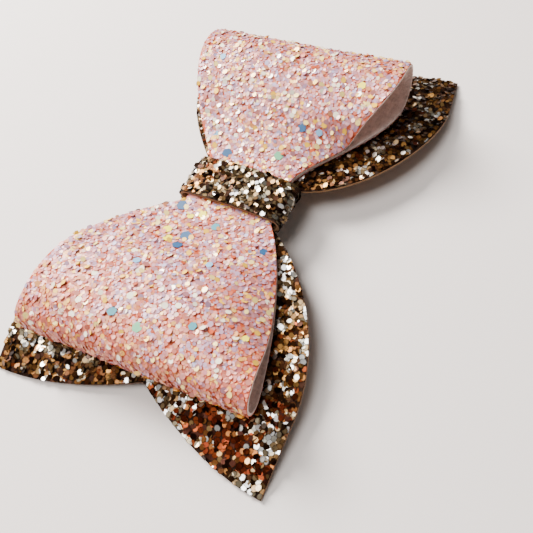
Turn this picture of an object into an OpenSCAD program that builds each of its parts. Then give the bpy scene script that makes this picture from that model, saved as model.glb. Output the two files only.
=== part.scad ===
// Hair bow: a pink loop band on a bronze tail band, a bronze strip wrapped round
// the middle, and a lined single-prong alligator clip glued on the back.
// +X runs along the bow, +Z out of its face. The origin is on the surface that the
// bow rests on, under the middle of the wrap.

/* [Tails] */
// Length of the bow, from tail tip to tail tip
bow_length = 89.6; // [70:0.1:130]
// -Y edge of the +X tail: half width, distance at which it is reached, and flare
right_tail_low_edge = [28, 33, 0.65]; // [0.5:0.05:50]
// +Y edge of the +X tail: half width, distance at which it is reached, and flare
right_tail_high_edge = [24.5, 33, 0.95]; // [0.5:0.05:50]
// -Y edge of the -X tail: half width, distance at which it is reached, and flare
left_tail_low_edge = [26.4, 33.5, 0.85]; // [0.5:0.05:50]
// +Y edge of the -X tail: half width, distance at which it is reached, and flare
left_tail_high_edge = [28, 33.5, 0.85]; // [0.5:0.05:50]
// Half width of the tails at the tips
tip_half_width = 26.4; // [18:0.1:40]
// Depth of the notch in each tail's end
notch_depth = 7.9; // [3:0.1:14]
// How far the -X tail's notch lies off the bow's middle line, towards -Y
notch_shift = 1; // [0:0.1:4]
// How full the tail's end edge bows outward
notch_fullness = 1.8; // [1:0.05:3]
// How late the tails droop towards their tips, 1 is a straight slope
droop_softness = 1.6; // [1.3:0.1:2.6]
// Least gap between the tails and the ends of the clip
tail_clip_gap = 0.1; // [0.05:0.05:0.5]

/* [Loops] */
// Distance from the middle to the outside of the +X loop's fold
right_loop_reach = 34.2; // [28:0.1:55]
// Distance from the middle to the outside of the -X loop's fold
left_loop_reach = 37.2; // [28:0.1:55]
// Radius of the +X loop's fold, to the middle of the fabric
right_fold_radius = 4.2; // [2:0.1:7]
// Radius of the -X loop's fold, to the middle of the fabric
left_fold_radius = 3.3; // [2:0.1:7]
// -Y edge of the +X loop: half width, distance at which it is reached, and flare
right_loop_low_edge = [21.6, 29.4, 1.5]; // [0.5:0.05:50]
// +Y edge of the +X loop: half width, distance at which it is reached, and flare
right_loop_high_edge = [18.9, 28.3, 1.15]; // [0.5:0.05:50]
// -Y edge of the -X loop: half width, distance at which it is reached, and flare
left_loop_low_edge = [19.7, 45, 0.85]; // [0.5:0.05:50]
// +Y edge of the -X loop: half width, distance at which it is reached, and flare
left_loop_high_edge = [23, 26, 0.95]; // [0.5:0.05:50]
// How much of the tails' droop the loops follow
loop_follow = 0.6; // [0:0.05:1]
// Angle by which the loop band sits askew on the tails
loop_skew = 3; // [0:0.5:8]
// Rise of the upper layer where it leaves the fold
loop_puff = 24; // [0:1:35]

/* [Fabric] */
// Thickness of the felt side of the fabric
felt_t = 0.4; // [0.3:0.05:1]
// Thickness of the glitter side of the fabric
glitter_t = 0.3; // [0.2:0.05:0.8]
// Thickness of each glue pad
glue_t = 0.2; // [0.1:0.05:0.5]

/* [Centre wrap] */
// Width of the wrap strip, along the bow
wrap_width = 8.6; // [6:0.1:16]
// Half of the inside width of the wrap, across the bow
wrap_inner_half = 9.8; // [7:0.1:14]
// Inside corner radius of the wrap
wrap_corner = 1.2; // [0.4:0.1:1.2]
// Gap between the wrap's two ends, on the back
wrap_seam_gap = 0.6; // [0.2:0.1:2]

/* [Clip] */
// Length of the clip's upper plate
clip_length = 40; // [34:1:46]
// Width of the clip's upper plate
clip_width = 7; // [6:0.1:9]
// Thickness of the clip's sheet steel
steel_t = 0.5; // [0.4:0.05:0.6]
// Height of the clip's lined top face above the resting surface
clip_rise = 4.6; // [4.5:0.1:9]
// Distance from the middle of the bow to the hinge pin
pin_x = 8; // [4:0.5:13]
// Depth of the hinge pin's axis below the upper plate
pin_drop = 1.8; // [1.7:0.1:1.9]
// Radius of the hinge pin
pin_r = 0.6; // [0.4:0.05:0.7]
// Radial running clearance of the lower jaw on the pin
pin_clearance = 0.05; // [0.03:0.01:0.09]
// Radius of the upper plate's ears round the pin
ear_r = 1.6; // [1.4:0.1:1.7]
// Radius of the lower jaw's ears round the pin
jaw_ear_r = 1.4; // [1.2:0.1:1.5]
// Side gap between the two jaws' ears
ear_gap = 0.15; // [0.1:0.05:0.3]
// Width of the lower jaw's prong
prong_width = 3.8; // [3:0.1:4.6]
// Height of the lower jaw's turned-up sides
prong_side_h = 0.8; // [0.6:0.1:1]
// Number of teeth along each side of the prong
tooth_count = 9; // [5:1:14]
// Spacing of the teeth
tooth_pitch = 1.1; // [0.8:0.1:1.4]
// Height of each tooth
tooth_h = 0.4; // [0.3:0.05:0.5]
// Gap between the closed prong's teeth and the ribbon
mouth_gap = 0.15; // [0.1:0.05:0.5]
// Height of the thumb handle's end above the resting surface
handle_lift = 0.2; // [0.1:0.1:0.6]
// Width of the ribbon that lines the clip
ribbon_width = 9.5; // [8:0.1:11]
// Thickness of the ribbon
ribbon_t = 0.3; // [0.2:0.05:0.4]
// Length of the ribbon tucked under the clip's nose
ribbon_tuck = 14; // [8:0.5:18]
// Distance that the ribbon's top end stops short of the plate's end
ribbon_short = 1; // [0:0.5:4]

/* [Spring] */
// Radius of the spring's wire
wire_r = 0.2; // [0.15:0.05:0.25]
// Radius of the spring's coil, to the middle of the wire
coil_r = 1; // [0.9:0.05:1.05]
// Number of turns in the spring
coil_turns = 7; // [4:1:8]
// Length of the spring's two legs
leg_length = 4.5; // [3:0.5:6]
// Clearance round the spring
spring_clearance = 0.1; // [0.05:0.05:0.15]

/* [Hidden] */
$fn = 48;
fabric_t = felt_t + glitter_t;
half_length = bow_length / 2;
neck_x = wrap_width / 2 + 0.15;
neck_half = wrap_inner_half - wrap_corner;
loop_neck_half = neck_half - neck_x * sin(loop_skew);
loop_neck_x = neck_x + loop_neck_half * sin(loop_skew);
loop_lag = max(left_loop_high_edge[0], right_loop_low_edge[0]) * sin(loop_skew);
path_steps = 22;
fold_steps = 20;
edge_steps = 18;
seam_gap = 0.5;
ease = 3;
pad_margin = 0.7;
glue_half = wrap_width / 2 - pad_margin;

// Heights of the glued stack, from the clip's face upwards
wrap_z0 = clip_rise + glue_t;
tail_z0 = wrap_z0 + fabric_t;
loop_low_z0 = tail_z0 + fabric_t + glue_t;
loop_high_z0 = loop_low_z0 + fabric_t + glue_t;
wrap_inner_top = loop_high_z0 + fabric_t;

// Clip heights
plate_top = clip_rise - ribbon_t;
plate_z0 = plate_top - steel_t;
pin_z = plate_z0 - pin_drop;
plate_nose_r = steel_t / 2;
nose_x = -clip_length / 2;
tail_x = clip_length / 2;
ear_inner = clip_width / 2 - steel_t;
jaw_ear_outer = ear_inner - ear_gap;
jaw_ear_inner = jaw_ear_outer - steel_t;
tooth_tip_z = plate_z0 - ribbon_t - mouth_gap;
prong_z0 = tooth_tip_z - tooth_h - prong_side_h;
prong_nose_x = nose_x + 1.2;
heel_x = pin_x - jaw_ear_r;
heel_z0 = pin_z - coil_r - wire_r - spring_clearance - steel_t;
heel_wall = steel_t + 0.4;
handle_inset = 0.4;
handle_short = 1;
pin_overhang = 0.5;

function steps(n) = [for (i = [0:n]) i / n];
function flip(points) = [for (i = [len(points) - 1:-1:0]) points[i]];
function mirror_y(points) = [for (p = points) [p[0], -p[1]]];

// Points of a path moved sideways by d, to the left of its direction
function side_step(path, d) = [
  for (i = [0:len(path) - 1])
    let (
      a = path[max(i - 1, 0)],
      b = path[min(i + 1, len(path) - 1)],
      l = norm(b - a)
    )
    path[i] + d * [a[1] - b[1], b[0] - a[0]] / l
];

// Closed outline of the layer between two distances from a path
function layer(path, d0, d1) = concat(side_step(path, d0), flip(side_step(path, d1)));

// Drop of the tails below their height at the wrap, late enough to clear the clip's ends
clip_end_share = (clip_length / 2 + plate_nose_r + ribbon_t - neck_x) / (half_length - neck_x);
clip_end_drop = tail_z0 - clip_rise - tail_clip_gap;
droop_power = max(droop_softness, ln(clip_end_drop / tail_z0) / ln(clip_end_share));
function droop(x) =
  x <= neck_x ? 0 : tail_z0 * pow((x - neck_x) / (half_length - neck_x), droop_power);
function droop_slope(x) =
  tail_z0 * droop_power / (half_length - neck_x)
  * pow(max(x - neck_x, 0) / (half_length - neck_x), droop_power - 1);

// Half width of a band that flares from its neck along an edge
function flare(x, from, neck, edge) =
  let (u = min(max((x - from) / (edge[1] - from), 0), 1))
  neck + (edge[0] - neck) * pow(1 - pow(1 - u, 2), edge[2]);

// Tails: side path of the under side's middle line, and one side's outline seen from above
tail_path = [
  for (x = concat([0, neck_x / 2], [for (u = steps(path_steps)) neck_x + u * (half_length + 2 - neck_x)]))
    [x, tail_z0 - droop(x)]
];
function tail_outline(edge, shift) = concat(
  [[0, neck_half]],
  [
    for (u = steps(edge_steps))
      let (x = neck_x + u * u * (edge[1] - neck_x))
      [x, flare(x, neck_x, neck_half, edge)]
  ],
  [
    for (u = steps(edge_steps))
      [half_length - notch_depth * pow(u, notch_fullness), tip_half_width * (1 - u) + shift * u]
  ]
);

// Loops: lower run over the tails, round the fold, and back over the top. The run keeps
// clear of the tails along the whole of its width, although the loops are askew.
loop_mid = fabric_t / 2;
function loop_droop(x) = loop_follow * droop(x - loop_lag);
function loop_path(reach, radius) =
  let (
    tilt = atan(loop_follow * droop_slope(reach - radius - loop_lag)),
    fold_x = reach - radius * (1 + sin(tilt)) - loop_mid,
    fold_start = [fold_x, loop_low_z0 + loop_mid - loop_droop(fold_x)],
    centre = fold_start + radius * [sin(tilt), cos(tilt)],
    turned = 180 - loop_puff + tilt,
    fold = [
      for (u = steps(fold_steps))
        let (a = -90 - tilt + turned * u)
        centre + radius * [cos(a), sin(a)]
    ],
    from = fold[fold_steps],
    to = [loop_neck_x, loop_high_z0 + loop_mid],
    pull = (from[0] - to[0]) / ease,
    first = from + pull * [-cos(loop_puff), sin(loop_puff)],
    second = to + pull * [1, 0]
  )
  concat(
    [[0, loop_low_z0 + loop_mid]],
    [
      for (i = [0:path_steps - 1])
        let (x = loop_neck_x + i / path_steps * (fold_x - loop_neck_x))
        [x, loop_low_z0 + loop_mid - loop_droop(x)]
    ],
    fold,
    [
      for (i = [1:path_steps])
        let (u = i / path_steps)
        pow(1 - u, 3) * from + 3 * u * pow(1 - u, 2) * first + 3 * u * u * (1 - u) * second
          + pow(u, 3) * to
    ],
    [[seam_gap / 2, loop_high_z0 + loop_mid]]
  );
function loop_outline(edge, reach) = concat(
  [[0, loop_neck_half]],
  [
    for (u = steps(edge_steps))
      let (x = loop_neck_x + u * u * (edge[1] - loop_neck_x))
      [x, flare(x, loop_neck_x, loop_neck_half, edge)]
  ],
  [[max(reach, edge[1]) + 1, edge[0]]]
);

// A side profile, in X and Z, carried across the whole width of the bow
module across(profile) {
  width = 2 * max(right_tail_low_edge[0], left_tail_high_edge[0]) + 10;
  translate([0, width / 2, 0])
    rotate([90, 0, 0])
      linear_extrude(width)
        polygon(profile);
}

// The outlines of both sides, seen from above, cut through everything
module stamp(low, high) {
  linear_extrude(6 * clip_rise)
    polygon(concat(high, flip(mirror_y(low))));
}

module tail_layer(d0, d1) {
  half = layer(tail_path, d0, d1);
  intersection() {
    across(half);
    stamp(tail_outline(right_tail_low_edge, 0), tail_outline(right_tail_high_edge, 0));
  }
  mirror([1, 0, 0])
    intersection() {
      across(half);
      stamp(
        tail_outline(left_tail_low_edge, notch_shift),
        tail_outline(left_tail_high_edge, -notch_shift)
      );
    }
}

module half_loop(reach, radius, low, high, d0, d1) {
  intersection() {
    across(layer(loop_path(reach, radius), d0, d1));
    stamp(loop_outline(low, reach), loop_outline(high, reach));
  }
}

module loop_layer(d0, d1) {
  rotate([0, 0, loop_skew])
    union() {
      half_loop(
        right_loop_reach, right_fold_radius, right_loop_low_edge, right_loop_high_edge, d0, d1
      );
      mirror([1, 0, 0])
        half_loop(
          left_loop_reach, left_fold_radius, left_loop_low_edge, left_loop_high_edge, d0, d1
        );
    }
}

module rounded_tube(inner_half, z0, z1, corner, t) {
  module outline(grow) {
    r = corner + grow;
    y = inner_half - corner;
    union() {
      for (sy = [-1, 1])
        for (z = [z0 + corner, z1 - corner])
          translate([sy * y, z])
            circle(r);
      translate([-y, z0 - grow])
        square([2 * y, z1 - z0 + 2 * grow]);
      translate([-inner_half - grow, z0 + corner])
        square([2 * (inner_half + grow), z1 - z0 - 2 * corner]);
    }
  }
  translate([-wrap_width / 2, 0, 0])
    rotate([90, 0, 90])
      linear_extrude(wrap_width)
        difference() {
          outline(t[1]);
          outline(t[0]);
          translate([-wrap_seam_gap / 2, z0 - t[1] - 1])
            square([wrap_seam_gap, t[1] + 1.5]);
        }
}

module wrap_layer(t0, t1) {
  rounded_tube(wrap_inner_half, tail_z0, wrap_inner_top, wrap_corner, [t0, t1]);
}

// A flat strip that sits square to the bow
module pad(x0, x1, half, z0, t) {
  translate([x0, -half, z0])
    cube([x1 - x0, 2 * half, t]);
}

module tail_backing() {
  color("tan")
    tail_layer(0, felt_t);
}

module tail_glitter() {
  color("peru")
    tail_layer(felt_t, fabric_t);
}

module loop_lining() {
  color("mistyrose")
    loop_layer(glitter_t - loop_mid, loop_mid);
}

module loop_glitter() {
  color("hotpink")
    loop_layer(-loop_mid, glitter_t - loop_mid);
}

module wrap_backing() {
  color("tan")
    wrap_layer(0, felt_t);
}

module wrap_glitter() {
  color("peru")
    wrap_layer(felt_t, fabric_t);
}

module loop_glue() {
  color("ivory")
    pad(-glue_half, glue_half, loop_neck_half - pad_margin, loop_high_z0 - glue_t, glue_t);
}

module tail_glue() {
  color("ivory")
    pad(-glue_half, glue_half, loop_neck_half - pad_margin, tail_z0 + fabric_t, glue_t);
}

module wrap_glue() {
  color("ivory")
    pad(-glue_half, glue_half, wrap_seam_gap / 2, wrap_z0, fabric_t);
}

module clip_glue() {
  color("ivory")
    pad(-glue_half, glue_half, ribbon_width / 2 - pad_margin, clip_rise, glue_t);
}

// Ribbon over the plate, round its nose and back along its under side
module clip_ribbon() {
  color("sienna")
    translate([nose_x, ribbon_width / 2, 0])
      rotate([90, 0, 0])
        linear_extrude(ribbon_width)
          difference() {
            union() {
              translate([0, plate_top])
                square([clip_length - ribbon_short, ribbon_t]);
              translate([0, plate_z0 - ribbon_t])
                square([ribbon_tuck, ribbon_t]);
              translate([0, plate_z0 + plate_nose_r])
                circle(plate_nose_r + ribbon_t);
            }
            translate([0, plate_z0 + plate_nose_r])
              circle(plate_nose_r);
            translate([0, plate_z0])
              square([clip_length, steel_t]);
          }
}

module ear(y0, r, root_z, root_half) {
  translate([pin_x, y0 + steel_t, pin_z])
    rotate([90, 0, 0])
      linear_extrude(steel_t)
        union() {
          circle(r);
          translate([-root_half, min(0, root_z - pin_z)])
            square([2 * root_half, abs(root_z - pin_z)]);
        }
}

module pin_hole(r) {
  translate([pin_x, clip_width, pin_z])
    rotate([90, 0, 0])
      cylinder(h = 2 * clip_width, r = r);
}

module clip_upper_plate() {
  color("silver")
    difference() {
      union() {
        translate([nose_x, -clip_width / 2, plate_z0])
          cube([clip_length - clip_width / 2, clip_width, steel_t]);
        translate([tail_x - clip_width / 2, 0, plate_z0])
          cylinder(h = steel_t, d = clip_width);
        translate([nose_x, clip_width / 2, plate_z0 + plate_nose_r])
          rotate([90, 0, 0])
            cylinder(h = clip_width, r = plate_nose_r);
        for (y0 = [-clip_width / 2, ear_inner])
          ear(y0, ear_r, plate_z0, ear_r);
      }
      pin_hole(pin_r);
    }
}

// Channel from the pin to the nose, with turned-up toothed sides
module prong() {
  run = heel_x + heel_wall - prong_nose_x;
  translate([prong_nose_x, -prong_width / 2, prong_z0])
    cube([run, prong_width, steel_t]);
  for (y0 = [-prong_width / 2, prong_width / 2 - steel_t])
    translate([prong_nose_x, y0 + steel_t, prong_z0])
      rotate([90, 0, 0])
        linear_extrude(steel_t)
          polygon(concat(
            [[0, 0], [run, 0], [run, prong_side_h]],
            [
              for (i = [2 * tooth_count:-1:0])
                [i * tooth_pitch / 2, prong_side_h + (i % 2 == 1 ? tooth_h : 0)]
            ]
          ));
}

// Thumb handle, as narrow as the ears beside the pin and full width past them
module thumb_handle() {
  run = tail_x - handle_short - pin_x;
  clear_x = ear_r + 2 * ear_gap;
  slope = [
    [0, heel_z0],
    [clear_x, heel_z0],
    [run, handle_lift],
    [run, handle_lift + steel_t],
    [clear_x, heel_z0 + steel_t],
    [0, heel_z0 + steel_t]
  ];
  translate([pin_x, jaw_ear_outer, 0])
    rotate([90, 0, 0])
      linear_extrude(2 * jaw_ear_outer)
        polygon(slope);
  translate([pin_x, clip_width / 2 - handle_inset, 0])
    rotate([90, 0, 0])
      linear_extrude(clip_width - 2 * handle_inset)
        polygon([for (i = [1:4]) slope[i]]);
}

// Lower jaw: prong, heel plate under the spring, ears on the pin, and thumb handle
module clip_lower_jaw() {
  color("silver")
    difference() {
      union() {
        prong();
        translate([heel_x, -prong_width / 2, heel_z0])
          cube([heel_wall, prong_width, prong_z0 + steel_t - heel_z0]);
        translate([heel_x, -jaw_ear_outer, heel_z0])
          cube([2 * jaw_ear_r, 2 * jaw_ear_outer, steel_t]);
        for (y0 = [-jaw_ear_outer, jaw_ear_inner])
          ear(y0, jaw_ear_r, heel_z0, jaw_ear_r);
        thumb_handle();
      }
      pin_hole(pin_r + pin_clearance);
      // Room for the spring's coil between the ears
      translate([pin_x, jaw_ear_inner, pin_z])
        rotate([90, 0, 0])
          cylinder(h = 2 * jaw_ear_inner, r = coil_r + wire_r + spring_clearance);
    }
}

module clip_pin() {
  color("gainsboro")
    translate([pin_x, clip_width / 2 + pin_overhang, pin_z])
      rotate([90, 0, 0])
        cylinder(h = clip_width + 2 * pin_overhang, r = pin_r);
}

// Coil with one ring to a turn on a thin sleeve, and two legs that spread the handle
module clip_spring() {
  coil_half = jaw_ear_inner - spring_clearance - wire_r;
  pitch = 2 * coil_half / (coil_turns - 1);
  sleeve_t = wire_r / 2;
  leg_r = 0.9 * wire_r;
  upper_tilt = asin((pin_drop - coil_r - 2 * leg_r) / leg_length);
  color("gray")
    translate([pin_x, 0, pin_z])
      union() {
        rotate([90, 0, 0])
          rotate_extrude()
            union() {
              for (i = [0:coil_turns - 1])
                translate([coil_r, -coil_half + i * pitch])
                  circle(r = wire_r, $fn = 16);
              translate([coil_r - sleeve_t / 2, -coil_half])
                square([sleeve_t, 2 * coil_half]);
            }
        translate([0, coil_half, coil_r])
          rotate([0, 90 - upper_tilt, 0])
            cylinder(h = leg_length, r = leg_r);
        translate([0, -coil_half, -coil_r])
          rotate([0, 90, 0])
            cylinder(h = leg_length, r = leg_r);
      }
}

tail_glitter();
tail_backing();
loop_glitter();
loop_lining();
wrap_glitter();
wrap_backing();
loop_glue();
tail_glue();
wrap_glue();
clip_glue();
clip_ribbon();
clip_upper_plate();
clip_lower_jaw();
clip_pin();
clip_spring();
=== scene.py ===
"""Glitter hair bow: cut, folded and glued glitter fabric on a lined spring clip.

Each band of the bow is a felt sheet under a resin coat that is bedded with flakes. The bands
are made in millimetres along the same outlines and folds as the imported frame's.
"""

import math

import bpy
import numpy as np
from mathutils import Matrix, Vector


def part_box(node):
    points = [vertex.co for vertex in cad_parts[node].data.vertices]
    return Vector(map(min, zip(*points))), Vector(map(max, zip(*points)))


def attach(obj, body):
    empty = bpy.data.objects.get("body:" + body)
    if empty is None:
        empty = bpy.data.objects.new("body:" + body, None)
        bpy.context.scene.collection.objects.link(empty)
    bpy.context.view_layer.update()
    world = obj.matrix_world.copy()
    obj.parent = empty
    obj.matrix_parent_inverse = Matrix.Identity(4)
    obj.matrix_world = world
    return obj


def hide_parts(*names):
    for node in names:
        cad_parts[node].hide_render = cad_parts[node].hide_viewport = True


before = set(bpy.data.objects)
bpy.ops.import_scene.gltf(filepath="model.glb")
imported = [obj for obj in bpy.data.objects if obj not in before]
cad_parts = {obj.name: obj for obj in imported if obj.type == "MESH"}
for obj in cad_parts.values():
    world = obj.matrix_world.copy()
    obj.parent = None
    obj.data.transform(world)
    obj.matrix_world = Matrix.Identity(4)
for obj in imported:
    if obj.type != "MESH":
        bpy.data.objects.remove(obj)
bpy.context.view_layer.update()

bl_info = {
    "name": "Glitter Hair Bow",
    "version": (1, 0, 0),
    "blender": (4, 5, 0),
    "location": "View3D > Sidebar > Hair Bow",
    "description": "Builds a folded glitter-fabric hair bow around its packed frame",
    "category": "Object",
}

MM = 0.001
BOW_BODY = "bow"
JAW_BODY = "jaw"
FLOAT = bpy.props.FloatProperty
COLOUR = bpy.props.FloatVectorProperty


def length(name, description, default):
    """A size in millimetres"""
    return FLOAT(name=name, description=description, default=default, min=0.0, soft_max=100.0)


def angle(name, description, degrees):
    """An angle"""
    return FLOAT(name=name, description=description, default=math.radians(degrees), subtype="ANGLE")


def colour(name, description, default):
    """A linear colour"""
    return COLOUR(
        name=name, description=description, default=default, size=3, subtype="COLOR", min=0.0, max=1.0
    )


def node_box(node):
    """Lowest and highest corner of a frame node, in millimetres"""
    low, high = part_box(node)
    return np.array(low) / MM, np.array(high) / MM


TAIL_LOW, TAIL_HIGH = node_box("tail_backing")
WRAP_LOW, WRAP_HIGH = node_box("wrap_glitter")
WRAP_FELT_LOW, WRAP_FELT_HIGH = node_box("wrap_backing")
LOOP_LOW, LOOP_HIGH = node_box("loop_glitter")
LINING_LOW, LINING_HIGH = node_box("loop_lining")
RIBBON_LOW, RIBBON_HIGH = node_box("clip_ribbon")
PLATE_LOW, PLATE_HIGH = node_box("clip_upper_plate")
SPRING_LOW, SPRING_HIGH = node_box("clip_spring")
PIN_LOW, PIN_HIGH = node_box("clip_pin")


# ---------------------------------------------------------------- user settings


class BOW_PG_sizes(bpy.types.PropertyGroup):
    """Sizes of the bow's fabric, in millimetres and degrees"""

    glitter_t: length(
        "Glitter thickness",
        "Thickness of the resin coat and its flakes",
        LINING_LOW[0] - LOOP_LOW[0],
    )
    felt_t: length("Felt thickness", "Thickness of the felt side of the fabric", 0.4)
    glue_t: length("Glue thickness", "Thickness of the glue between layers", 0.2)
    flake_bed: length("Flake bed", "Half of the depth that the resin leaves to its flakes", 0.1)
    notch_depth: length("Notch depth", "Depth of the notch in each tail's end", 7.9)
    notch_shift: length("Notch shift", "How far the -X notch lies off the middle line", 1.0)
    tip_half_width: length("Tip half width", "Half width of the tails at the tips", 26.4)
    ripple: length("Ripple", "Height of the slow waves in the sheets", 0.12)
    left_reach: length("Left loop reach", "Distance to the outside of the -X fold", 37.2)
    right_reach: length("Right loop reach", "Distance to the outside of the +X fold", 34.2)
    left_radius: length("Left fold radius", "Radius of the -X fold", 3.3)
    right_radius: length("Right fold radius", "Radius of the +X fold", 4.2)
    loop_skew: angle("Loop skew", "Angle of the loop band across the tails", 3)
    loop_puff: angle("Loop puff", "Rise of the upper layer past the fold", 24)
    wrap_crown: length("Wrap crown", "Rise of the wrap over its middle", 0.5)


class BOW_PG_flakes(bpy.types.PropertyGroup):
    """Sizes of the glitter flakes, in millimetres"""

    bronze_size: length("Bronze flake", "Width of a bronze flake from point to point", 1.06)
    pink_size: length("Pink flake", "Width of a pink flake from point to point", 0.76)
    accent_size: length("Accent flake", "Width of a coloured accent flake", 1.9)
    bronze_tilt: angle("Bronze tilt", "Spread of the bronze flakes' tilt", 10)
    pink_tilt: angle("Pink tilt", "Spread of the pink flakes' tilt", 8)


class BOW_PG_colours(bpy.types.PropertyGroup):
    """Colours of the bow"""

    bronze_resin: colour("Bronze resin", "Resin coat under the bronze flakes", (0.03, 0.012, 0.005))
    pink_resin: colour("Pink resin", "Resin coat under the pink flakes", (0.66, 0.15, 0.07))
    tan_felt: colour("Tan felt", "Felt under the bronze glitter", (0.26, 0.13, 0.05))
    pale_felt: colour("Pale felt", "Felt inside the loops", (0.8, 0.6, 0.54))
    ribbon: colour("Ribbon", "Grosgrain on the clip", (0.2, 0.1, 0.05))
    steel: colour("Steel", "Plated steel", (0.62, 0.61, 0.6))
    glue: colour("Glue", "Set glue", (0.75, 0.68, 0.5))


SETTINGS = (
    ("hair_bow_sizes", BOW_PG_sizes),
    ("hair_bow_flakes", BOW_PG_flakes),
    ("hair_bow_colours", BOW_PG_colours),
)


def settings():
    """The scene's sizes, flakes and colours"""
    scene = bpy.context.scene
    return [getattr(scene, name) for name, _ in SETTINGS]


# ---------------------------------------------------------------- shapes of the bands


def smooth(t):
    """Smooth step from 0 to 1"""
    t = np.clip(t, 0, 1)
    return t * t * (3 - 2 * t)


def flare(x, start, neck, edge):
    """Half width of a band that flares from its neck along an edge"""
    full, shoulder, power = edge
    u = np.clip((x - start) / (shoulder - start), 0, 1)
    return neck + (full - neck) * (1 - (1 - u) ** 2) ** power


# Edges of the bands, -Y side then +Y side: half width, distance where it is reached, flare
LEFT_TAIL_EDGES = ((26.4, 33.5, 0.85), (28.0, 33.5, 0.85))
RIGHT_TAIL_EDGES = ((28.0, 33.0, 0.65), (24.5, 33.0, 0.95))
LEFT_LOOP_EDGES = ((19.7, 45.0, 0.85), (23.0, 26.0, 0.95))
RIGHT_LOOP_EDGES = ((21.6, 29.4, 1.5), (18.9, 28.3, 1.15))
# How far the loops' -Y edges are pinched down, the distance where that ends, and its softness
LEFT_PINCH = (0.91, 28.9, 2.6)
RIGHT_PINCH = (1.0, 16.0, 0.9)


class Bow:
    """Heights, outlines and folds that the bands share"""

    notch_fullness = 1.8
    loop_follow = 0.6
    wrap_corner = 1.2
    wrap_clearance = 0.15

    def __init__(self, sizes):
        self.sizes = sizes
        self.fabric_t = sizes.felt_t + sizes.glitter_t
        self.half_length = TAIL_HIGH[0]
        self.wrap_half = WRAP_HIGH[0]
        self.neck_x = self.wrap_half + self.wrap_clearance
        self.wrap_inner_half = WRAP_FELT_HIGH[1] - sizes.felt_t
        self.tail_neck = self.wrap_inner_half - self.wrap_corner
        self.tail_z = WRAP_FELT_LOW[2] + sizes.felt_t
        self.low_z = self.tail_z + self.fabric_t + sizes.glue_t
        self.high_z = self.low_z + self.fabric_t + sizes.glue_t
        self.inner_top = WRAP_FELT_HIGH[2] - sizes.felt_t
        skew = math.sin(sizes.loop_skew)
        self.loop_neck = self.tail_neck - self.neck_x * skew
        self.loop_neck_x = self.neck_x + self.loop_neck * skew
        self.loop_lag = LEFT_LOOP_EDGES[1][0] * skew
        clip_end = (-RIBBON_LOW[0] - self.neck_x) / (self.half_length - self.neck_x)
        drop = self.tail_z - RIBBON_HIGH[2] - 0.1
        self.droop_power = math.log(drop / self.tail_z) / math.log(clip_end)

    def droop(self, x):
        """Drop of the tails below their height at the wrap"""
        u = np.clip((np.abs(x) - self.neck_x) / (self.half_length - self.neck_x), 0, None)
        return self.tail_z * u**self.droop_power

    def droop_slope(self, x):
        """Steepness of the tails"""
        span = self.half_length - self.neck_x
        u = np.clip((np.abs(x) - self.neck_x) / span, 0, None)
        return self.tail_z * self.droop_power / span * u ** (self.droop_power - 1)

    def lower_run(self, x):
        """Height of the middle of the loop band's lower run"""
        drop = self.loop_follow * self.droop(np.maximum(x - self.loop_lag, 0))
        return self.low_z + self.fabric_t / 2 - drop

    def loop_path(self, reach, radius):
        """A loop's side path, from under the wrap round the fold and back, and where it turns"""
        puff = self.sizes.loop_puff
        mid = self.fabric_t / 2
        tilt = math.atan(self.loop_follow * float(self.droop_slope(reach - radius - self.loop_lag)))
        fold_x = reach - radius * (1 + math.sin(tilt)) - mid
        run = np.linspace(self.loop_neck_x, fold_x, 60)
        lower = np.vstack([[0, self.low_z + mid], np.c_[run, self.lower_run(run)]])
        centre = lower[-1] + radius * np.array([math.sin(tilt), math.cos(tilt)])
        turn = np.linspace(-math.pi / 2 - tilt, math.pi / 2 - puff, 61)[1:]
        fold = centre + radius * np.c_[np.cos(turn), np.sin(turn)]
        start, end = fold[-1], np.array([self.loop_neck_x, self.high_z + mid])
        pull = (start[0] - end[0]) / 3
        first = start + pull * np.array([-math.cos(puff), math.sin(puff)])
        second = end + pull * np.array([1, 0])
        u = np.linspace(0, 1, 81)[1:, None]
        near_start = (1 - u) ** 3 * start + 3 * u * (1 - u) ** 2 * first
        upper = near_start + 3 * u * u * (1 - u) * second + u**3 * end
        return np.vstack([lower, fold, upper, [0.25, self.high_z + mid]]), len(lower) + len(fold) // 2


class Run:
    """A side path that can be walked by distance"""

    def __init__(self, path):
        self.path = path
        step = np.linalg.norm(np.diff(path, axis=0), axis=1)
        self.dist = np.concatenate([[0], np.cumsum(step)])
        self.span = self.dist[-1]
        direction = np.gradient(path, self.dist, axis=0)
        self.direction = direction / np.linalg.norm(direction, axis=1, keepdims=True)

    def at(self, distance):
        """Both coordinates and both parts of the direction"""
        columns = (*self.path.T, *self.direction.T)
        return [np.interp(distance, self.dist, column) for column in columns]


class Band:
    """A strip with an own outline on each side, by distances along and across it in millimetres"""

    def keep(self, along, across):
        """Moves points that lie off the cut shape onto its edge"""
        along = np.clip(along, *self.ends(along, across))
        return along, np.clip(across, -self.side(along, 0), self.side(along, 1))

    def inside(self, along, across, margin):
        """Whether points lie on the cut shape, a margin in from its edge"""
        low, high = self.ends(along, across)
        return (
            (across > margin - self.side(along, 0))
            & (across < self.side(along, 1) - margin)
            & (along > low + margin)
            & (along < high - margin)
        )


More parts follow.
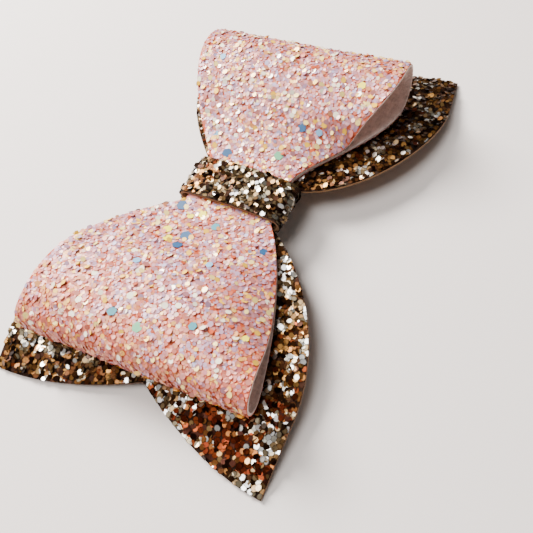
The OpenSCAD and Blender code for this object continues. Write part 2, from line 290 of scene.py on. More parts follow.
class TailBand(Band):
    """The tails' surface"""

    def __init__(self, bow):
        self.bow = bow
        self.low_end, self.high_end = -bow.half_length, bow.half_length

    def side(self, along, which):
        """Half width on the -Y side (0) or the +Y side (1)"""
        b = self.bow
        x = np.abs(along)
        halves = []
        for edges in (LEFT_TAIL_EDGES, RIGHT_TAIL_EDGES):
            full, shoulder, _ = edges[which]
            taper = np.clip((x - shoulder) / (b.half_length - shoulder), 0, 1)
            half = flare(x, b.neck_x, b.tail_neck, edges[which])
            halves.append(half + (b.sizes.tip_half_width - full) * taper)
        return np.where(along < 0, *halves)

    def ends(self, along, across):
        """Where the notched end edges lie, at a distance across"""
        b, s = self.bow, self.bow.sizes
        reaches = []
        for shift in (-s.notch_shift, 0.0):
            off = across - shift
            share = np.abs(off) / (s.tip_half_width - np.sign(off) * shift)
            inward = 1 - np.clip(share, 0, 1)
            reaches.append(b.half_length - s.notch_depth * inward**b.notch_fullness)
        return -reaches[0], reaches[1]

    def place(self, along, across, height):
        """Points at a height above the band's under side, and the surface normals there"""
        b = self.bow
        free = np.clip((np.abs(along) - b.neck_x) / (b.half_length - b.neck_x), 0, 1)
        wave = b.sizes.ripple * np.sin(along * 0.31 + across * 0.17) * np.sin(math.pi * free)
        slope = -np.sign(along) * b.droop_slope(along)
        normal = np.stack([-slope, np.zeros_like(slope), np.ones_like(slope)], -1)
        normal /= np.linalg.norm(normal, axis=-1, keepdims=True)
        under = np.maximum(b.tail_z - b.droop(along) + wave, 0)
        point = np.stack([along, across, under], -1)
        return point + normal * np.asarray(height)[..., None], normal


class LoopBand(Band):
    """The loop band's surface, by distance along its side path from the middle of its lower run"""

    # Distances over which the pinch sets in past the fold, and the ripple past the fold and the wrap
    pinch_run = 3
    fold_calm = 6
    wrap_calm = 12

    def __init__(self, bow):
        self.bow = bow
        s = bow.sizes
        left, left_turn = bow.loop_path(s.left_reach, s.left_radius)
        right, right_turn = bow.loop_path(s.right_reach, s.right_radius)
        self.runs = (Run(left), Run(right))
        self.turns = (self.runs[0].dist[left_turn], self.runs[1].dist[right_turn])
        self.low_end, self.high_end = -self.runs[0].span, self.runs[1].span

    def at(self, along):
        """Side position and direction on the half path"""
        left, right = (run.at(np.abs(along)) for run in self.runs)
        return [np.where(along < 0, a, b) for a, b in zip(left, right)]

    def side(self, along, which):
        """Half width on the -Y side (0) or the +Y side (1)"""
        b = self.bow
        x = self.at(along)[0]
        halves = [
            flare(x, b.loop_neck_x, b.loop_neck, edges[which])
            for edges in (LEFT_LOOP_EDGES, RIGHT_LOOP_EDGES)
        ]
        return np.where(along < 0, *halves)

    def ends(self, along, across):
        """The two ends of the strip, which are cut straight"""
        return self.low_end, self.high_end

    def pinch(self, along, across, x, z):
        """How far the upper layer's -Y edge is held down towards the lower layer"""
        b = self.bow
        drops = []
        for turn, (share, until, softness) in zip(self.turns, (LEFT_PINCH, RIGHT_PINCH)):
            upper = smooth((np.abs(along) - turn) / self.pinch_run)
            hold = 1 / (1 + np.exp((x - until) / softness))
            drops.append(share * hold * upper)
        gap = np.maximum(z - b.lower_run(x) - b.fabric_t, 0)
        low = np.clip(-across / self.side(along, 0), 0, 1)
        return gap * np.where(along < 0, *drops) * low**2.5

    def place(self, along, across, height):
        """Points at a height out from the felt's inner face, and the outward normals there"""
        b = self.bow
        x, z, tx, tz = self.at(along)
        out_x, out_z = tz, -tx
        z_low = z - self.pinch(along, across, x, z)
        free = np.clip((x - b.loop_neck_x) / self.wrap_calm, 0, 1)
        past_fold = np.abs(along) - np.where(along < 0, *self.turns)
        upper = smooth(past_fold / self.fold_calm)
        z_low = z_low + b.sizes.ripple * upper * free * np.sin(across * 0.21 + along * 0.13)
        lift = np.asarray(height) - b.fabric_t / 2
        wx = np.where(along < 0, -1, 1) * (x + out_x * lift)
        cos, sin = math.cos(b.sizes.loop_skew), math.sin(b.sizes.loop_skew)
        point = np.stack([wx * cos - across * sin, wx * sin + across * cos, z_low + out_z * lift], -1)
        nx = np.where(along < 0, -1, 1) * out_x
        normal = np.stack([nx * cos, nx * sin, out_z], -1)
        return point, normal / np.linalg.norm(normal, axis=-1, keepdims=True)


class WrapBand(Band):
    """The centre wrap's surface, by distance round the middle and distance along the bow"""

    seam_gap = 0.3

    def __init__(self, bow):
        self.bow = bow
        r = bow.wrap_corner
        flat = bow.wrap_inner_half - r
        low, high = bow.tail_z + r, bow.inner_top - r
        turn = np.linspace(0, math.pi / 2, 13)
        corners = ((1, low, -math.pi / 2), (1, high, 0), (-1, high, math.pi / 2), (-1, low, math.pi))
        ring = [[self.seam_gap, bow.tail_z]]
        for side, z, start in corners:
            ring += [[side * flat + r * math.cos(start + t), z + r * math.sin(start + t)] for t in turn]
        ring.append([-self.seam_gap, bow.tail_z])
        fine = []
        for a, b in zip(ring[:-1], ring[1:]):
            count = max(int(math.dist(a, b) / 0.4), 1)
            fine += [[p + (q - p) * i / count for p, q in zip(a, b)] for i in range(count)]
        path = np.array([*fine, ring[-1]])
        crown = bow.sizes.wrap_crown * np.clip(1 - (path[:, 0] / flat) ** 2, 0, 1)
        path[:, 1] += crown * (path[:, 1] > (low + high) / 2)
        apart = np.concatenate([[True], np.linalg.norm(np.diff(path, axis=0), axis=1) > 1e-4])
        self.run = Run(path[apart])
        self.low_end, self.high_end = 0.0, self.run.span

    def side(self, along, which):
        """Half width, the same on both sides and all the way round"""
        return np.full_like(along, self.bow.wrap_half, dtype=float)

    def ends(self, along, across):
        """The two ends of the strip, which are cut straight"""
        return self.low_end, self.high_end

    def place(self, along, across, height):
        """Points at a height out from the wrap's inner face, and the outward normals there"""
        y, z, ty, tz = self.run.at(along)
        point = np.stack([across + 0 * y, y + tz * height, z - ty * height], -1)
        normal = np.stack([0 * y, tz, -ty], -1)
        return point, normal / np.linalg.norm(normal, axis=-1, keepdims=True)


# ---------------------------------------------------------------- mesh makers


def make_object(name, points, faces, material):
    """A smooth mesh object from points in millimetres"""
    mesh = bpy.data.meshes.new(name)
    mesh.from_pydata([tuple(p) for p in np.asarray(points) * MM], [], faces)
    mesh.materials.append(material)
    mesh.polygons.foreach_set("use_smooth", np.ones(len(mesh.polygons), bool))
    obj = bpy.data.objects.new(name, mesh)
    bpy.context.scene.collection.objects.link(obj)
    return obj


def settle(obj, slot, *nodes, body=BOW_BODY):
    """Rides the piece on its body and hides the frame nodes that it stands for; the slot is not used"""
    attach(obj, body)
    if nodes:
        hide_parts(*nodes)
    return obj


def closed_faces(rows, columns):
    """Faces of a grid of points, of its copy on the far side and of the walls between the two"""
    index = np.arange(rows * columns).reshape(rows, columns)
    quads = np.stack([index[:-1, :-1], index[1:, :-1], index[1:, 1:], index[:-1, 1:]], -1)
    quads = quads.reshape(-1, 4)
    offset = rows * columns
    rim = np.concatenate([index[:, 0], index[-1, 1:], index[-2::-1, -1], index[0, -2:0:-1]])
    after = np.roll(rim, -1)
    walls = np.stack([rim, rim + offset, after + offset, after], -1)
    return np.vstack([quads, quads[:, ::-1] + offset, walls[:, ::-1]])


def sheet_grid(band, alongs, steps_across, low, high):
    """Points and faces of a closed sheet between two heights over a band"""
    shares = np.linspace(-1, 1, steps_across + 1)
    grid_a, grid_v = np.meshgrid(alongs, shares, indexing="ij")
    for _ in range(3):
        grid_w = grid_v * np.where(grid_v < 0, band.side(grid_a, 0), band.side(grid_a, 1))
        low_end, high_end = band.ends(grid_a, grid_w)
        low_share = low_end / band.low_end if band.low_end else 1
        share = np.where(alongs[:, None] < 0, low_share, high_end / band.high_end)
        grid_a = alongs[:, None] * share + 0 * grid_v
    grid_w = grid_v * np.where(grid_v < 0, band.side(grid_a, 0), band.side(grid_a, 1))
    top, _ = band.place(grid_a, grid_w, np.full_like(grid_a, high))
    bottom, _ = band.place(grid_a, grid_w, np.full_like(grid_a, low))
    return np.vstack([top.reshape(-1, 3), bottom.reshape(-1, 3)]), closed_faces(*grid_a.shape)


def make_sheet(name, band, alongs, steps_across, low, high, material, outward=1):
    """A closed sheet of fabric on a band"""
    points, faces = sheet_grid(band, alongs, steps_across, low, high)
    if outward < 0:
        faces = faces[:, ::-1]
    obj = make_object(name, points, faces.tolist(), material)
    obj.data.set_sharp_from_angle(angle=math.radians(50))
    return obj


# Rows of close-set flakes lie this share of a spacing apart, and stray by this share of it
ROW_SHARE = 0.866
STRAY = 0.32
# Directions of a flake's six corners
CORNER_TURNS = np.arange(6) * math.pi / 3


def scatter(rng, band, spacing, margin, low, high, widest, density=None):
    """Jittered rows of places on a band, as distances along and across"""
    rows = np.arange(low, high, spacing * ROW_SHARE)
    columns = np.arange(-widest, widest + spacing, spacing)
    along, across = np.meshgrid(rows, columns, indexing="ij")
    across = across + (np.arange(len(rows)) % 2 * spacing / 2)[:, None]
    along = along + rng.uniform(-STRAY, STRAY, along.shape) * spacing
    across = across + rng.uniform(-STRAY, STRAY, across.shape) * spacing
    along, across = along.ravel(), across.ravel()
    chosen = band.inside(along, across, margin)
    if density is not None:
        chosen &= rng.uniform(size=len(along)) < density(along, across)
    return along[chosen], across[chosen]


def flake_cell_uvs(count):
    """Square cells of the bake map, one to a flake: corners of the hexagon and its middle"""
    side = math.ceil(math.sqrt(count))
    corners = np.c_[np.cos(CORNER_TURNS), np.sin(CORNER_TURNS)]
    shape = np.vstack([corners * 0.36 + 0.5, [0.5, 0.5]])
    cell = np.stack([np.arange(count) % side, np.arange(count) // side], -1)
    return (cell[:, None, :] + shape[None]) / side


def make_flakes(name, rng, band, places, size, spread, tilt, base, bed, material, lift=0.01):
    """Hexagon flakes bedded in the coat, each one closed below by a foot under its middle"""
    along, across = places
    count = len(along)
    corners = len(CORNER_TURNS)
    foot_depth = 0.04
    radius = size / 2 * (1 + rng.uniform(-spread, spread, count))
    spin = rng.uniform(0, 2 * math.pi, count)
    turn = spin[:, None] + CORNER_TURNS
    da, dw = radius[:, None] * np.cos(turn), radius[:, None] * np.sin(turn)
    lean = np.clip(rng.normal(0, 1, (count, 2)), -2, 2) * math.tan(tilt)
    rise = da * lean[:, :1] + dw * lean[:, 1:]
    rise += (rng.uniform(0, bed, count) - rise.min(axis=1) + lift)[:, None]
    edge_a, edge_w = band.keep(along[:, None] + da, across[:, None] + dw)
    top, _ = band.place(edge_a, edge_w, base + rise)
    foot, _ = band.place(along, across, np.full(count, base - foot_depth))
    points = np.concatenate([top, foot[:, None]], axis=1).reshape(-1, 3) * MM
    start = np.arange(count)[:, None] * (corners + 1)
    ring = start + np.arange(corners)
    following = start + (np.arange(corners) + 1) % corners
    sides = np.stack([following, ring, np.broadcast_to(start + corners, ring.shape)], -1)
    loops = np.concatenate([ring, sides.reshape(count, -1)], axis=1).ravel()
    totals = np.tile([corners] + [3] * corners, count)
    mesh = bpy.data.meshes.new(name)
    mesh.vertices.add(len(points))
    mesh.vertices.foreach_set("co", points.ravel())
    mesh.loops.add(len(loops))
    mesh.loops.foreach_set("vertex_index", loops.astype(np.int32))
    mesh.polygons.add(len(totals))
    starts = np.concatenate([[0], np.cumsum(totals)[:-1]])
    mesh.polygons.foreach_set("loop_start", starts.astype(np.int32))
    mesh.update(calc_edges=True)
    mesh.polygons.foreach_set("use_smooth", np.zeros(len(totals), bool))
    uvs = flake_cell_uvs(count).reshape(-1, 2)
    layer = mesh.uv_layers.new(name="OFBake")
    layer.data.foreach_set("uv", uvs[loops].ravel())
    disc = np.vstack([np.c_[np.cos(CORNER_TURNS), np.sin(CORNER_TURNS)], [1, 0]])
    disc = np.tile(disc, (count, 1))
    rim = mesh.attributes.new("disc", "FLOAT2", "CORNER")
    rim.data.foreach_set("vector", disc[loops].ravel())
    mesh.validate()
    mesh.materials.append(material)
    obj = bpy.data.objects.new(name, mesh)
    bpy.context.scene.collection.objects.link(obj)
    return obj


# ---------------------------------------------------------------- materials


class Value:
    """A shader socket on which Python arithmetic adds Math nodes"""

    def __init__(self, tree, socket):
        self.tree = tree
        self.socket = socket

    def math(self, operation, *values):
        """A Math node on values or numbers"""
        node = self.tree.nodes.new("ShaderNodeMath")
        node.operation = operation
        for socket, value in zip(node.inputs, values):
            if isinstance(value, Value):
                self.tree.links.new(value.socket, socket)
            else:
                socket.default_value = value
        return Value(self.tree, node.outputs[0])

    def __add__(self, other):
        return self.math("ADD", self, other)

    def __radd__(self, other):
        return self.math("ADD", other, self)

    def __sub__(self, other):
        return self.math("SUBTRACT", self, other)

    def __rsub__(self, other):
        return self.math("SUBTRACT", other, self)

    def __mul__(self, other):
        return self.math("MULTIPLY", self, other)

    def __rmul__(self, other):
        return self.math("MULTIPLY", other, self)

    def __gt__(self, other):
        return self.math("GREATER_THAN", self, other)

    def __lt__(self, other):
        return self.math("LESS_THAN", self, other)

    def __abs__(self):
        return self.math("ABSOLUTE", self)

    def clamp(self):
        """Held between 0 and 1"""
        return self.math("MINIMUM", self.math("MAXIMUM", self, 0.0), 1.0)


class Finish:
    """A material with one Principled shader, and short ways to add nodes to it"""

    def __init__(self, name, base, rough, metallic=0.0, specular=0.5, **fixed):
        self.material = bpy.data.materials.new(name)
        self.material.use_nodes = True
        self.tree = self.material.node_tree
        self.shader = self.tree.nodes["Principled BSDF"]
        self.shader.inputs["Base Color"].default_value = (*base, 1)
        self.shader.inputs["Roughness"].default_value = rough
        self.shader.inputs["Metallic"].default_value = metallic
        self.shader.inputs["Specular IOR Level"].default_value = specular
        for key, value in fixed.items():
            self.shader.inputs[key.replace("_", " ").title()].default_value = value
        self.material.diffuse_color = (*base, 1)

    def add(self, kind, options=(), output=0, **inputs):
        """Adds a node: its type, its settings, and its sockets' values or links

        An input is named by its socket, or i and its number where names repeat.
        """
        node = self.tree.nodes.new(kind)
        for key, value in dict(options).items():
            if key == "stops":
                self.set_stops(node.color_ramp, value)
            else:
                setattr(node, key, value)
        for key, value in inputs.items():
            numbered = key[0] == "i" and key[1:].isdigit()
            socket = node.inputs[int(key[1:]) if numbered else key]
            if isinstance(value, Value):
                self.tree.links.new(value.socket, socket)
            elif socket.type == "RGBA":
                socket.default_value = (*value, 1)
            else:
                socket.default_value = value
        return Value(self.tree, node.outputs[output])

    @staticmethod
    def set_stops(ramp, stops):
        """Steps of one colour each, as wide as the share that each one takes"""
        ramp.interpolation = "CONSTANT"
        total = sum(share for share, _ in stops)
        edge = 0.0
        for number, (share, tone) in enumerate(stops):
            step = ramp.elements[0] if number == 0 else ramp.elements.new(edge / total)
            step.position = edge / total
            step.color = (*tone, 1)
            edge += share
        while len(ramp.elements) > len(stops):
            ramp.elements.remove(ramp.elements[-1])

    def place(self):
        """Object coordinates, in metres"""
        return self.add("ShaderNodeTexCoord", output=3)

    def scaled(self, factors):
        """Object coordinates stretched by a factor along each axis"""
        options = {"operation": "MULTIPLY"}
        return self.add("ShaderNodeVectorMath", options, i0=self.place(), i1=factors)

    def noise(self, scale, detail=3.0, vector=None):
        """Noise with a scale in cycles per metre"""
        return self.add(
            "ShaderNodeTexNoise", Vector=vector or self.place(), Scale=scale, Detail=detail, Roughness=0.6
        )

    def axis(self, index):
        """One object coordinate, in metres"""
        return self.add("ShaderNodeSeparateXYZ", output=index, Vector=self.place())

    def mix(self, factor, first, second):
        """A colour between two others"""
        options = {"data_type": "RGBA"}
        return self.add("ShaderNodeMix", options, output=2, i0=factor, i6=first, i7=second)

    def palette(self, factor, stops):
        """Steps of colour, each with the share of flakes that it takes"""
        return self.add("ShaderNodeValToRGB", {"stops": stops}, i0=factor)

    def random_flake(self):
        """A random value from 0 to 1 for each flake"""
        return self.add("ShaderNodeNewGeometry", output=8)

    def rim(self):
        """0 in the middle of a flake and 1 at its rim"""
        disc = self.add("ShaderNodeAttribute", {"attribute_name": "disc"}, output=1)
        reach = self.add("ShaderNodeVectorMath", {"operation": "LENGTH"}, output=1, i0=disc)
        return ((reach - 0.66) * 4.5).clamp()

    def wire(self, name, value):
        """Links a value to one of the shader's sockets"""
        self.tree.links.new(value.socket, self.shader.inputs[name])

    def bump(self, height, strength, distance):
        """Small relief, by a distance in metres"""
        node = self.add("ShaderNodeBump", Strength=strength, Distance=distance, Height=height)
        self.wire("Normal", node)


# Share of the flakes and colour of each tone, first for the bronze flakes in general, whose white tone is
# a painted glint
BRONZE_TONES = (
    (20, (0.016, 0.005, 0.002)),
    (26, (0.06, 0.021, 0.006)),
    (24, (0.15, 0.062, 0.016)),
    (14, (0.28, 0.135, 0.035)),
    (6, (0.15, 0.03, 0.007)),
    (5, (0.42, 0.25, 0.09)),
    (5, (1.0, 0.93, 0.8)),
)
# Painted glints: colours of the wrap's bronze flakes where they catch the light together, champagne and
# white
WRAP_GLINT_TONES = (
    (18, (0.022, 0.008, 0.003)),
    (20, (0.1, 0.055, 0.02)),
    (24, (0.19, 0.125, 0.06)),
    (20, (0.27, 0.21, 0.125)),
    (8, (0.28, 0.26, 0.21)),
    (10, (1.0, 0.99, 0.96)),
)
# Painted glints: colours of the tails' bronze flakes where they catch the light together, pale gold and
# white
GLINT_TONES = (
    (12, (0.04, 0.015, 0.005)),
    (18, (0.15, 0.08, 0.03)),
    (22, (0.3, 0.2, 0.1)),
    (18, (0.42, 0.34, 0.22)),
    (8, (0.46, 0.43, 0.36)),
    (22, (1.0, 0.99, 0.96)),
)
# Painted reflection and shade of the -X loop's fold: dark reddish copper colours of the bronze flakes
# under it, with a few painted white glints
FOLD_REFLECTION_TONES = (
    (22, (0.016, 0.003, 0.001)),
    (30, (0.1, 0.014, 0.003)),
    (20, (0.17, 0.032, 0.007)),
    (13, (0.24, 0.085, 0.022)),
    (5, (0.34, 0.2, 0.08)),
    (10, (1.0, 0.95, 0.87)),
)
# Pink flakes over most of the loops
PINK_TONES = (
    (26, (0.52, 0.235, 0.26)),
    (18, (0.54, 0.195, 0.17)),
    (24, (0.42, 0.25, 0.35)),
    (12, (0.6, 0.24, 0.12)),
    (5, (0.48, 0.08, 0.025)),
    (5, (1.0, 0.6, 0.14)),
    (6, (0.84, 0.56, 0.47)),
    (5, (0.38, 0.33, 0.5)),
)
# Painted shade with warm bounced light: deeper pinkish orange colours of the pink flakes near the -X
# loop's fold
FOLD_SHADE_TONES = (
    (22, (0.58, 0.13, 0.06)),
    (24, (0.62, 0.22, 0.16)),
    (22, (0.74, 0.28, 0.09)),
    (12, (0.5, 0.25, 0.36)),
    (8, (1.0, 0.52, 0.1)),
    (12, (0.42, 0.05, 0.015)),
)
# Painted highlights: bright yellow and cream colours of the iridescent flakes that flash on the loops
SPARKLE_TONES = (
    (32, (1.0, 0.58, 0.05)),
    (32, (1.0, 0.76, 0.24)),
    (26, (1.0, 0.93, 0.72)),
    (10, (0.95, 0.4, 0.14)),
)
# Larger coloured flakes on the loops: finish, colour, number and mean scale
ACCENTS = (
    ("accent_blue", (0.008, 0.075, 0.19), 6, 0.95),
    ("accent_teal", (0.02, 0.22, 0.28), 3, 0.8),
    ("accent_green", (0.16, 0.5, 0.26), 2, 0.9),
    ("accent_sky", (0.18, 0.4, 0.62), 5, 0.6),
    ("accent_gold", (1.0, 0.84, 0.02), 6, 0.85),
    ("accent_cream", (1.0, 0.93, 0.68), 18, 0.55),
    ("accent_coral", (0.6, 0.08, 0.015), 5, 0.5),
)


def bronze_flake_finish():
    """Foil flakes from dark brown to champagne, with painted glints of pale and white flakes in patches,
    a painted reflection and shade of the -X loop's fold, and painted shade at their rims
    """
    f = Finish("bronze_flake", (0.3, 0.17, 0.08), 0.3, 0.92)
    fold_x, wrap_edge = -0.037, 0.0046
    pick = f.random_flake()
    x = f.axis(0)
    y = f.axis(1)
    # Painted reflection and shade of the -X loop's fold: reddish copper flakes in patches on the tail's
    # -Y side beneath it
    near_fold = (1.25 - abs((x - fold_x) * 115)).clamp()
    low_side = ((-0.001 - y) * 400).clamp()
    painted_fold_reflection = near_fold * (0.45 + f.noise(150, 1.0)) * low_side > 0.5
    browns_and_fold_reflection = f.mix(painted_fold_reflection, f.palette(pick, BRONZE_TONES), f.palette(pick, FOLD_REFLECTION_TONES))
    # Painted glints: noise patches where the flakes turn pale and white, more on the wrap away from its
    # +Y end and fewer along the +X tail, which is painted as lying in shade
    on_wrap = abs(x) < wrap_edge
    lean = 0.14 * on_wrap * ((0.005 - y) * 300).clamp()
    glint = f.noise(230, 2.0) + lean - 2.4 * (x - 0.004).clamp() > 0.52
    painted_glints = f.mix(on_wrap, f.palette(pick, GLINT_TONES), f.palette(pick, WRAP_GLINT_TONES))
    tone = f.mix(glint, browns_and_fold_reflection, painted_glints)
    # Painted shade between the flakes: each flake darkens to near black at its rim
    f.wire("Base Color", f.mix(0.8 * f.rim(), tone, (0.02, 0.006, 0.002)))
    f.wire("Roughness", 0.2 + 0.25 * f.noise(900, 1.0))
    f.bump(f.noise(2500, 2.0), 0.15, 0.0001)
    return f.material


def pink_flake_finish():
    """Pastel flakes, with painted shade and warm bounced light near the -X loop's fold, and painted shade
    in deep orange at some rims
    """
    f = Finish("pink_flake", (0.75, 0.48, 0.5), 0.4, 0.1, coat_weight=0.12, coat_roughness=0.15)
    pick = f.random_flake()
    # Painted shade and warm bounced light: deeper pinkish orange patches towards the -X loop's fold
    painted_fold_shade = (f.noise(110, 3.0) + (-0.024 - f.axis(0)) * 22 > 0.6) * 0.8
    tone = f.mix(painted_fold_shade, f.palette(pick, PINK_TONES), f.palette(pick, FOLD_SHADE_TONES))
    # Painted shade between the flakes, in the deep orange of the resin beneath: rims darken strongly in
    # noise patches and slightly everywhere
    sliver = (4.0 * f.noise(480, 2.0) - 1.5).clamp()
    f.wire("Base Color", f.mix((0.1 + 0.9 * sliver) * f.rim(), tone, (0.5, 0.05, 0.012)))
    f.wire("Roughness", 0.3 + 0.3 * f.noise(1100, 1.0))
    f.bump(f.noise(3000, 2.0), 0.12, 0.0001)
    return f.material


def sparkle_flake_finish():
    """Iridescent yellow and cream flakes, painted bright to stand for their flashes, with painted shade
    at their rims
    """
    f = Finish("sparkle_flake", (1.0, 0.8, 0.4), 0.25, 0.08, coat_weight=0.25, coat_roughness=0.08)
    tone = f.palette(f.random_flake(), SPARKLE_TONES)
    # Painted shade at the flakes' rims, towards deep orange
    f.wire("Base Color", f.mix(0.5 * f.rim(), tone, (0.7, 0.22, 0.08)))
    f.wire("Roughness", 0.15 + 0.2 * f.noise(1100, 1.0))
    f.bump(f.noise(3000, 2.0), 0.12, 0.0001)
    return f.material


def accent_finish(name, base):
    """A plain coloured foil with a cloudy sheen"""
    f = Finish(name, base, 0.5, specular=0.25)
    pale = tuple(0.85 * c + 0.03 for c in base)
    f.wire("Base Color", f.mix((1.5 * f.noise(900, 2.0) - 0.4).clamp(), base, pale))
    return f.material


def resin_finish(name, base, dark):
    """Rough resin between the flakes"""
    f = Finish(name, base, 0.8, specular=0.15)
    f.wire("Base Color", f.mix((1.6 * f.noise(1400, 3.0) - 0.3).clamp(), base, dark))
    f.bump(f.noise(2200, 3.0), 0.6, 0.0003)
    return f.material


def felt_finish(name, base):
    """Matted short fibres, lighter where they stand up"""
    f = Finish(name, base, 0.95, specular=0.2, sheen_weight=0.08, sheen_roughness=0.6)
    coarse = f.noise(900, 5.0, f.scaled((1.0, 0.35, 1.0)))
    fine = f.noise(2600, 3.0, f.scaled((0.3, 1.0, 1.0)))
    fibre = coarse * 0.5 + fine * 0.5
    light = tuple(min(1.25 * c + 0.03, 1) for c in base)
    dark = tuple(0.7 * c for c in base)
    f.wire("Base Color", f.mix((3.0 * fibre - 1.0).clamp(), dark, light))
    f.bump(fibre, 0.8, 0.0004)
    return f.material


def ribbon_finish(base):
    """Woven yarn with a soft shine"""
    f = Finish("grosgrain", base, 0.6, sheen_weight=0.4, sheen_roughness=0.4)
    yarn = f.noise(700, 2.0, f.scaled((6.0, 0.6, 6.0)))
    light = tuple(min(1.5 * c, 1) for c in base)
    f.wire("Base Color", f.mix(yarn, base, light))
    f.wire("Roughness", 0.5 + 0.25 * yarn)
    f.bump(f.noise(3500, 2.0, f.scaled((1.0, 0.2, 1.0))), 0.5, 0.0002)
    return f.material


def steel_finish(name, base, grain):
    """Plated steel with rolling marks and slight dulling"""
    f = Finish(name, base, 0.28, 1.0)
    lines = f.noise(1500, 3.0, f.scaled(grain))
    dull = f.noise(220, 3.0)
    f.wire("Roughness", 0.2 + 0.14 * lines + 0.14 * dull)
    f.wire("Base Color", f.mix((dull - 0.35).clamp(), base, tuple(0.8 * c for c in base)))
    f.bump(lines, 0.12, 0.00008)
    return f.material


def glue_finish(base):
    """Set hot-melt glue, slightly cloudy"""
    f = Finish("set_glue", base, 0.35, subsurface_weight=0.2)
    cloud = f.noise(500, 3.0)
    f.wire("Base Color", f.mix(cloud, base, tuple(min(1.2 * c, 1) for c in base)))
    f.bump(f.noise(350, 2.0), 0.5, 0.0003)
    return f.material


def floor_finish():
    """Plain pale card"""
    return Finish("studio_floor", (0.78, 0.72, 0.69), 0.85).material


def material(name):
    """A finish that an earlier step made"""
    return bpy.data.materials[name]


# ---------------------------------------------------------------- operators


class BuildOperator(bpy.types.Operator):
    """Shared start of the build steps"""

    bl_options = {"REGISTER", "UNDO"}

    def execute(self, context):
        self.build(*settings())
        return {"FINISHED"}


class BOW_OT_finishes(BuildOperator):
    """Makes every finish and gives the clip's steel parts theirs"""

    bl_idname = "hair_bow.finishes"
    bl_label = "Finishes"

    def build(self, sizes, flakes, colours):
        bronze_flake_finish()
        pink_flake_finish()
        sparkle_flake_finish()
        for name, tone, _, _ in ACCENTS:
            accent_finish(name, tone)
        bronze, pink = colours.bronze_resin, colours.pink_resin
        resin_finish("bronze_resin", tuple(bronze), tuple(0.4 * c for c in bronze))
        resin_finish("pink_resin", tuple(pink), (0.4, 0.05, 0.02))
        felt_finish("felt_tan", tuple(colours.tan_felt))
        felt_finish("felt_pale", tuple(colours.pale_felt))
        ribbon_finish(tuple(colours.ribbon))
        glue_finish(tuple(colours.glue))
        steel = tuple(colours.steel)
        stamped = steel_finish("stamped_steel", steel, (0.15, 4.0, 4.0))
        turned = steel_finish("turned_steel", steel, (4.0, 0.3, 4.0))
        steel_finish("music_wire", tuple(0.85 * c for c in steel), (1.0, 1.0, 1.0))
        for node, finish in (
            ("clip_upper_plate", stamped),
            ("clip_lower_jaw", stamped),
            ("clip_pin", turned),
            ("loop_glue", material("set_glue")),
            ("tail_glue", material("set_glue")),
            ("wrap_glue", material("set_glue")),
            ("clip_glue", material("set_glue")),
        ):
            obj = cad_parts[node]
            obj.data.materials.clear()
            obj.data.materials.append(finish)


class BOW_OT_tails(BuildOperator):
    """Tail band: felt, resin coat and coarse bronze flakes"""

    bl_idname = "hair_bow.tails"
    bl_label = "Tails"

    # Area of the band once its notches and curved edges are cut, in square metres
    cut_area = 0.0038

    def build(self, sizes, flakes, colours):
        rng = np.random.default_rng(11)
        band = TailBand(Bow(sizes))
        alongs = np.linspace(band.low_end, band.high_end, 180)
        felt = make_sheet("tail_felt", band, alongs, 60, 0.0, sizes.felt_t, material("felt_tan"))
        settle(felt, "tan_felt", "tail_backing")
        coat_top = sizes.felt_t + sizes.glitter_t - 2 * sizes.flake_bed
        coat = make_sheet("tail_coat", band, alongs, 60, sizes.felt_t, coat_top, material("bronze_resin"))
        settle(coat, "bronze_glitter", "tail_glitter")
        widest = RIGHT_TAIL_EDGES[0][0]
        size = flakes.bronze_size
        # Name, spacing in flake widths, depth of the bed and tilt
        layers = (
            ("tail_flakes", 0.78, 0.1, flakes.bronze_tilt),
            ("tail_loose_flakes", 1.5, 0.24, 1.6 * flakes.bronze_tilt),
        )
        for name, pitch, bed, tilt in layers:
            places = scatter(rng, band, size * pitch, 0.12, band.low_end, band.high_end, widest)
            obj = make_flakes(
                name, rng, band, places, size, 0.06, tilt, coat_top, bed, material("bronze_flake")
            )
            settle(obj, "bronze_glitter")
        flat = (2 * band.high_end * MM, 2 * widest * MM)


